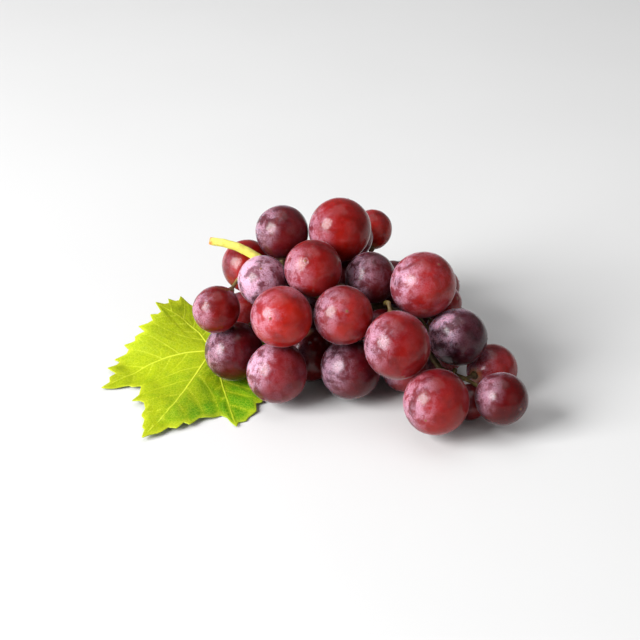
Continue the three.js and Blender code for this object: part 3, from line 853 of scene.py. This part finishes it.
def leaf_mesh(grapes, settings):
    """The blade: a disc of spokes and rings, shaped to the edge, raised at its veins and then thickened."""
    bm = bmesh.new()
    bmesh.ops.create_grid(bm, x_segments=LEAF_SPOKES, y_segments=LEAF_RINGS, size=1)
    grid = np.array([vert.co for vert in bm.verts])
    degrees = grid[:, 0] * 180
    ring = np.rint((grid[:, 1] + 1) / 2 * LEAF_RINGS)
    margin = np.clip((ring - 1) / (LEAF_RINGS - 1), 0, 1)
    reach = np.where(ring > 0, LEAF_HUB + margin * (edge_reach(degrees) - LEAF_HUB), 0)
    local = on_leaf(degrees, reach)
    veins = leaf_veins()
    ridge, nearest = vein_distances(local, veins)
    height = leaf_height(local[:, 0], local[:, 1]) + settings.thickness * 0.6
    height += settings.waves * leaf_waves(local, smoothstep(0.2, 1.0, margin))
    flat = local @ LEAF_AXES + np.array(leaf_joint())[:2]
    height = under_grapes(flat, height, grapes, settings.thickness + UNDER_GRAPE_GAP)
    height += settings.quilting * smoothstep(0, 3.2 * MM, nearest) * (1 - smoothstep(0.9, 1.0, margin))
    height = height + settings.ribs * ridge
    for vert, (x, y), z in zip(bm.verts, flat, height):
        vert.co = (x, y, z)
    bmesh.ops.remove_doubles(bm, verts=bm.verts, dist=SAME_PLACE)
    add_underside(bm, settings.thickness)
    return bm, veins


def add_underside(bm, thickness):
    """Gives a leaf its thickness, downwards, with a rim round its edge."""
    grown = bmesh.ops.extrude_face_region(bm, geom=bm.faces[:], use_keep_orig=True)["geom"]
    for part in grown:
        if isinstance(part, bmesh.types.BMVert):
            part.co.z = max(part.co.z - thickness, 0)
    bmesh.ops.recalc_face_normals(bm, faces=bm.faces)


def paint_leaf(mesh, veins):
    """Paints the veins, the thin edge, a darker green towards the bunch that is partly how grown the leaf
    is and partly painted shade, and its underside.
    """
    place = places(mesh)
    local = (place[:, :2] - np.array(leaf_joint())[:2]) @ LEAF_AXES.T
    ridge, nearest = vein_distances(local, veins)
    degrees = np.degrees(np.arctan2(local[:, 1], local[:, 0]))
    margin = np.hypot(local[:, 0], local[:, 1]) / (edge_reach(degrees) * LEAF_LENGTH)
    paint(mesh, "vein", ridge)
    paint(mesh, "halo", 1 - smoothstep(0, 2.2 * MM, nearest))
    paint(mesh, "margin", smoothstep(0.9, 1.0, margin))
    # A darker green towards the bunch: partly the leaf's own green, partly painted shade on the half that
    # faces away from the light.
    shaded_near_bunch = smoothstep(0.25, -0.45, local[:, 1] / LEAF_LENGTH)
    paint(mesh, "grown", shaded_near_bunch * (0.6 + 0.4 * smoothstep(0, 0.5, margin)))
    paint(mesh, "under", facing(mesh)[:, 2] < 0)


def leaf_material(settings):
    """A fresh leaf: yellow-green, a darker green near the bunch that is partly painted shade, with pale
    veins and a fine net between them.
    """
    shader = Shader("leaf")
    patches = shader.ramp(shader.noise(14, 4, 0.55, 0.5), 0.3, 0.7, -0.25, 0.25)
    # Darker green towards the bunch, partly painted shade.
    grown = shader.ramp(shader.calc("ADD", shader.painted("grown"), patches), 0, 1)
    colour_now = shader.mix(grown, settings.young, settings.grown)
    net = shader.ramp(shader.cells(1.5, "DISTANCE_TO_EDGE"), 0.015, 0.09, 0.26, 0)
    colour_now = shader.mix(net, colour_now, settings.vein)
    fine_net = shader.ramp(shader.cells(0.55, "DISTANCE_TO_EDGE"), 0.02, 0.12, 0.12, 0)
    colour_now = shader.mix(fine_net, colour_now, settings.vein)
    mottle = shader.ramp(shader.noise(2.2, 5, 0.65), 0.35, 0.7, 0, 0.22)
    colour_now = shader.mix(mottle, colour_now, tuple(np.array(settings.grown) * 0.8))
    halo = shader.calc("MULTIPLY", shader.painted("halo"), 0.35)
    colour_now = shader.mix(halo, colour_now, settings.young)
    colour_now = shader.mix(shader.painted("vein"), colour_now, settings.vein)
    edge = shader.calc("MULTIPLY", shader.painted("margin"), 0.4)
    colour_now = shader.mix(edge, colour_now, settings.edge)
    under = shader.calc("MULTIPLY", shader.painted("under"), 0.75)
    colour_now = shader.mix(under, colour_now, settings.under)
    relief = shader.bump(shader.cells(1.5, "DISTANCE_TO_EDGE"), 0.12)
    return shader.finish(
        Base_Color=colour_now,
        Roughness=shader.ramp(shader.noise(1.2, 3), 0.3, 0.7, 0.42, 0.6),
        Normal=shader.bump(shader.noise(0.5, 3, 0.6), 0.03, relief),
        IOR=1.22,
        Subsurface_Weight=0.3,
        Subsurface_Radius=(0.9, 1.0, 0.1),
        Subsurface_Scale=0.6 * MM,
    )


def leaf_stalk_mesh():
    """The leaf's stalk, straight on from the middle lobe and down onto the table, as the CAD stalk runs."""
    radius = LEAF_STALK_WIDTH / 2
    joint = leaf_joint()

    def at(degrees, reach, height):
        flat = on_leaf(degrees, reach / LEAF_LENGTH) @ LEAF_AXES
        return Vector((joint.x + flat[0], joint.y + flat[1], height))

    root = at(0, LEAF_STALK_WIDTH, float(leaf_height(np.array(LEAF_STALK_WIDTH), np.array(0.0))))
    halfway = at(180, LEAF_STALK_LENGTH * 0.4, 3 * radius)
    end = at(170, LEAF_STALK_LENGTH, LEAF_STALK_LIFT)
    swelling = ((0, 0.15, 0.5, 0.9, 0.97, 1), (0.65, 0.95, 0.85, 1.0, 1.2, 1.1))
    points, radii = [], []
    for done in np.linspace(0, 1, 60):
        points.append(root * (1 - done) ** 2 + halfway * 2 * done * (1 - done) + end * done**2)
        radii.append(radius * float(np.interp(done, *swelling)))
    return rod(points, radii, 24)


def stalk_material(settings):
    """The leaf's stalk: green, blushed with red on top."""
    shader = Shader("leaf_stalk")
    blush = shader.ramp(shader.noise(6, 4, 0.6), 0.35, 0.65)
    colour_now = shader.mix(blush, settings.vein, (0.42, 0.12, 0.06))
    streaks = shader.ramp(shader.noise(0.8, 4, 0.6), 0.5, 0.7, 0, 0.5)
    colour_now = shader.mix(streaks, colour_now, settings.under)
    return shader.finish(
        Base_Color=colour_now,
        Roughness=0.5,
        Normal=shader.bump(shader.noise(0.5, 4, 0.6), 0.05),
        Subsurface_Weight=0.2,
        Subsurface_Radius=(1.0, 0.6, 0.2),
        Subsurface_Scale=1.0 * MM,
    )


# ---------------------------------------------------------------- operators


class BUNCH_OT_fruit(bpy.types.Operator):
    """Makes every grape, with its scar, its bloom and the flat it rests on"""

    bl_idname = "bunch.fruit"
    bl_label = "Grapes"

    def execute(self, context):
        settings = context.scene.bunch.fruit
        skins = {}
        for slot, bloom in BLOOM_BY_SLOT.items():
            skin = tuple(getattr(settings, slot.removeprefix("skin_")))
            skins[slot] = skin_material(slot, settings, skin, bloom)
        slots = {row["node"]: row["material_slot"] for row in frame["record"]["subparts"]}
        chance = random.Random(context.scene.bunch.seed)
        for grape in read_grapes():
            usual = Look(
                bloom=chance.uniform(0.6, 1.4),
                haze=chance.uniform(0.1, 0.4),
                glow=chance.uniform(0.1, 0.8),
                dark=chance.uniform(0, 0.4),
            )
            bm = grape_mesh(grape, settings, chance.uniform(0, 100))
            piece = new_piece(f"{grape.node}_fruit", bm, skins[slots[grape.node]], grape.node)
            paint_grape(piece.data, grape, LOOKS.get(grape.node, usual), chance)
        return {"FINISHED"}


class BUNCH_OT_stem(bpy.types.Operator):
    """Makes the stem, with its branches, stalks and collars grown together"""

    bl_idname = "bunch.stem"
    bl_label = "Stem"

    def execute(self, context):
        settings = context.scene.bunch.stem
        grapes = read_grapes()
        bm = stem_mesh(grapes, settings, context.scene.bunch.fruit)
        piece = new_piece("stem_grown", bm, stem_material(settings), "stem")
        paint_stem(piece.data, grapes)
        return {"FINISHED"}


class BUNCH_OT_leaf(bpy.types.Operator):
    """Makes the leaf's blade and its stalk"""

    bl_idname = "bunch.leaf"
    bl_label = "Leaf"

    def execute(self, context):
        settings = context.scene.bunch.leaf
        bm, veins = leaf_mesh(read_grapes(), settings)
        blade = new_piece("leaf_blade", bm, leaf_material(settings), "leaf")
        paint_leaf(blade.data, veins)
        new_piece("leaf_stalk", leaf_stalk_mesh(), stalk_material(settings), "leaf")
        return {"FINISHED"}


class BUNCH_OT_studio(bpy.types.Operator):
    """Lays the floor, hangs the lights and sets up the camera"""

    bl_idname = "bunch.studio"
    bl_label = "Studio"

    def execute(self, context):
        settings = context.scene.bunch.studio
        lay_floor(settings)
        light_room(settings)
        for name, size, place in LIGHTS:
            hang_light(name, getattr(settings, name), size, place)
        set_camera(context.scene, settings)
        return {"FINISHED"}


def lay_floor(settings):
    """A plain pale floor."""
    bm = bmesh.new()
    bmesh.ops.create_grid(bm, x_segments=1, y_segments=1, size=settings.floor_size / 2)
    mesh = bpy.data.meshes.new("floor")
    bm.to_mesh(mesh)
    bm.free()
    shader = Shader("floor")
    tone = np.array(settings.floor)
    cloud = shader.mix(shader.ramp(shader.noise(120, 2), 0.3, 0.7), tuple(tone), tuple(tone * 0.985))
    mesh.materials.append(shader.finish(Base_Color=cloud, Roughness=0.85))
    floor = bpy.data.objects.new("floor", mesh)
    bpy.context.scene.collection.objects.link(floor)


def light_room(settings):
    """An even pale room."""
    world = bpy.data.worlds.new("room")
    world.use_nodes = True
    sky = world.node_tree.nodes["Background"]
    sky.inputs["Color"].default_value = (1, 1, 1, 1)
    sky.inputs["Strength"].default_value = settings.sky
    bpy.context.scene.world = world


def hang_light(name, power, size, place):
    """A soft square light that faces the bunch."""
    light = bpy.data.lights.new(name, "AREA")
    light.energy = power
    light.size = size
    lamp = bpy.data.objects.new(name, light)
    lamp.location = place
    lamp.rotation_euler = (AIM - Vector(place)).to_track_quat("-Z", "Y").to_euler()
    bpy.context.scene.collection.objects.link(lamp)


def set_camera(scene, settings):
    """A camera that looks along +Y and down on the bunch."""
    data = bpy.data.cameras.new("camera")
    data.lens = settings.camera_lens
    camera = bpy.data.objects.new("camera", data)
    back = Vector((0, -math.cos(settings.camera_height), math.sin(settings.camera_height)))
    camera.location = AIM + back * settings.camera_distance
    camera.rotation_euler = (-back).to_track_quat("-Z", "Y").to_euler()
    scene.collection.objects.link(camera)
    scene.camera = camera
    scene.view_settings.view_transform = "Standard"


class BUNCH_PT_panel(bpy.types.Panel):
    """Lists what makes the bunch, and its settings"""

    bl_idname = "BUNCH_PT_panel"
    bl_label = "Bunch of Grapes"
    bl_space_type = "VIEW_3D"
    bl_region_type = "UI"
    bl_category = "Grapes"

    def draw(self, context):
        bunch = context.scene.bunch
        self.layout.prop(bunch, "seed")
        for operator, settings in STEPS:
            box = self.layout.box()
            box.operator(operator.bl_idname)
            group = getattr(bunch, settings)
            for name in group.bl_rna.properties.keys():
                if name not in {"rna_type", "name"}:
                    box.prop(group, name)


STEPS = [
    (BUNCH_OT_fruit, "fruit"),
    (BUNCH_OT_stem, "stem"),
    (BUNCH_OT_leaf, "leaf"),
    (BUNCH_OT_studio, "studio"),
]
CLASSES = [FruitSettings, StemSettings, LeafSettings, StudioSettings, BunchSettings]
CLASSES += [operator for operator, _ in STEPS] + [BUNCH_PT_panel]


def register():
    """Adds the settings, the operators and the panel to Blender."""
    for cls in CLASSES:
        bpy.utils.register_class(cls)
    bpy.types.Scene.bunch = bpy.props.PointerProperty(type=BunchSettings)


def unregister():
    """Takes them out again."""
    del bpy.types.Scene.bunch
    for cls in reversed(CLASSES):
        bpy.utils.unregister_class(cls)


def main():
    """Builds everything."""
    register()
    bpy.ops.bunch.studio()
    bpy.ops.bunch.fruit()
    bpy.ops.bunch.stem()
    bpy.ops.bunch.leaf()
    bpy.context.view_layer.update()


if __name__ == "__main__":
    main()
